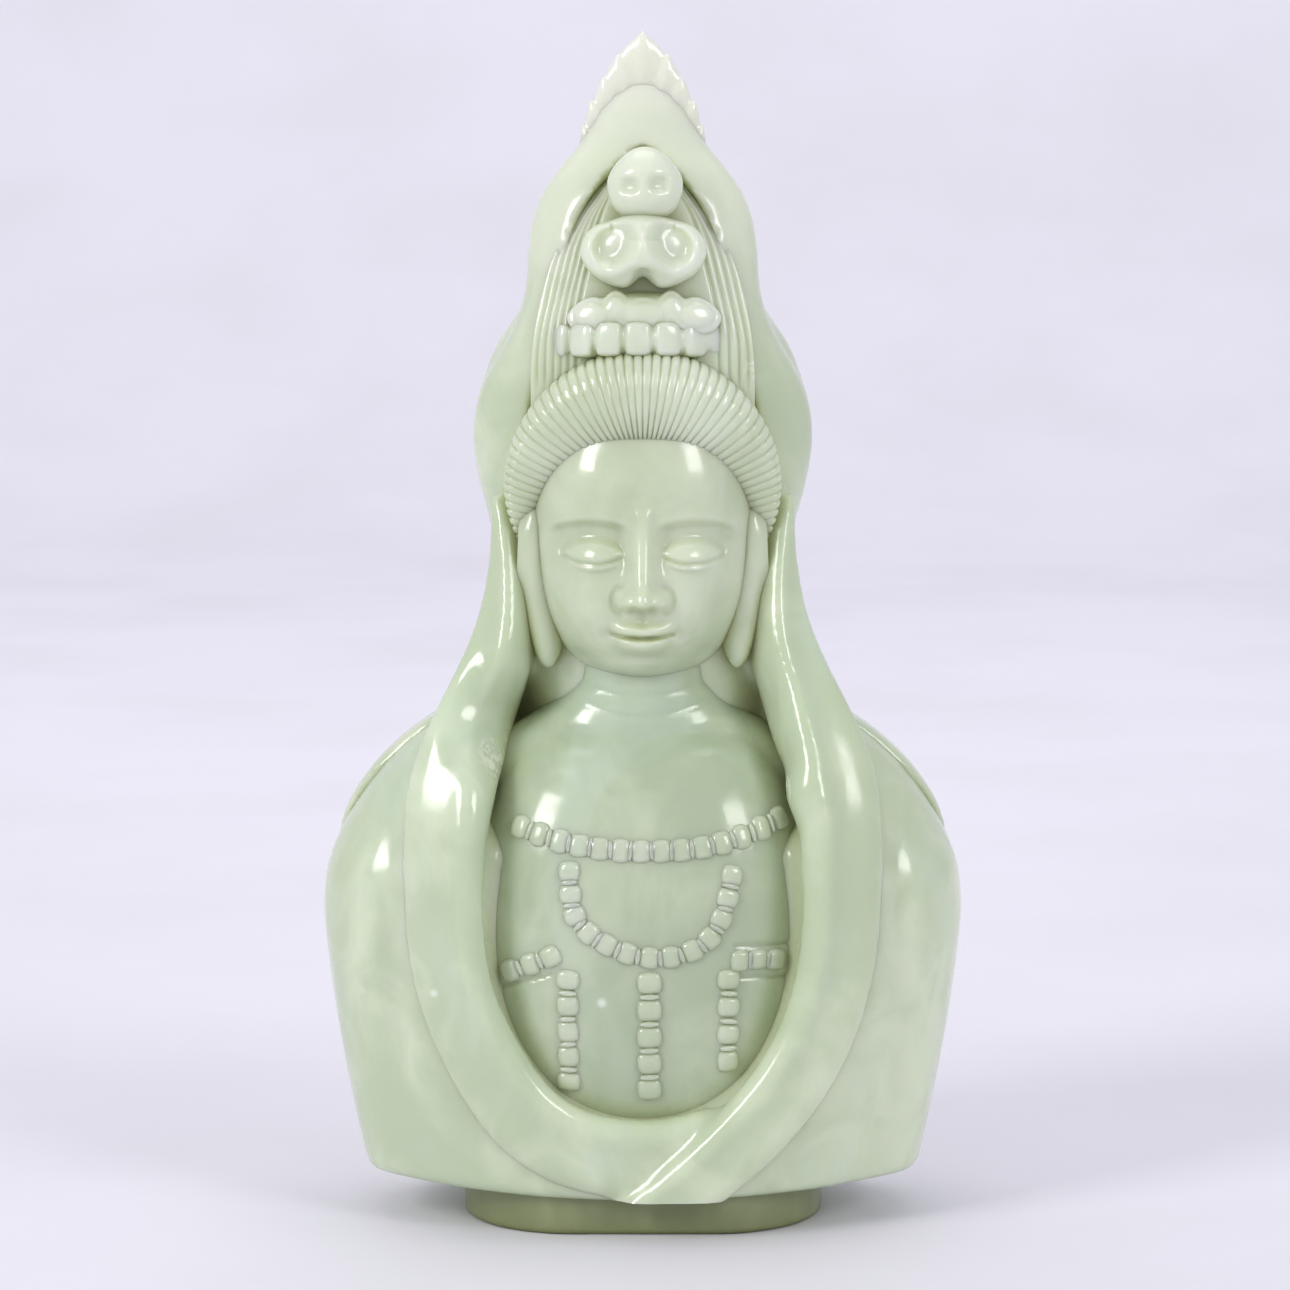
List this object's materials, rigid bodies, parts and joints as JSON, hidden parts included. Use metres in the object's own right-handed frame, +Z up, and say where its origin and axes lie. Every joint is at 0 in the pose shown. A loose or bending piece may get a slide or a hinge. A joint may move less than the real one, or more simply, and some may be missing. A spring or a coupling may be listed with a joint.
{
  "type": "jade figurine",
  "caption": "Free-standing carved jade bust of a veiled bodhisattva with a crown, a flame finial, bead ornaments and a short foot.",
  "frame": {"origin": "middle of the foot's flat underside", "axes": "+Z up to the tip of the flame, the face looks along -Y, +X is to the viewer's right"},
  "size_m": [0.087, 0.046, 0.16],
  "materials": {
    "jade": "polished",
    "jade_pale": "polished",
    "jade_foot": "satin"
  },
  "bodies": {
    "root": {"foot": "jade_foot", "head": "jade", "neck": "jade", "ear_left": "jade", "ear_right": "jade", "hair_roll": "jade", "crown_figure_head": "jade", "crown_figure_body": "jade", "lotus_seat": "jade", "topknot": "jade", "crown_band": "jade", "lapel_right": "jade", "lapel_left": "jade", "chest": "jade", "flame_arch": "jade_pale", "flame": "jade_pale", "hood": "jade", "robe": "jade", "veil_back": "jade", "collar_beads": "jade", "loop_beads": "jade", "pendant_left": "jade", "pendant_centre": "jade", "pendant_right": "jade", "strap_left": "jade", "strap_right": "jade"}
  },
  "joints": []
}
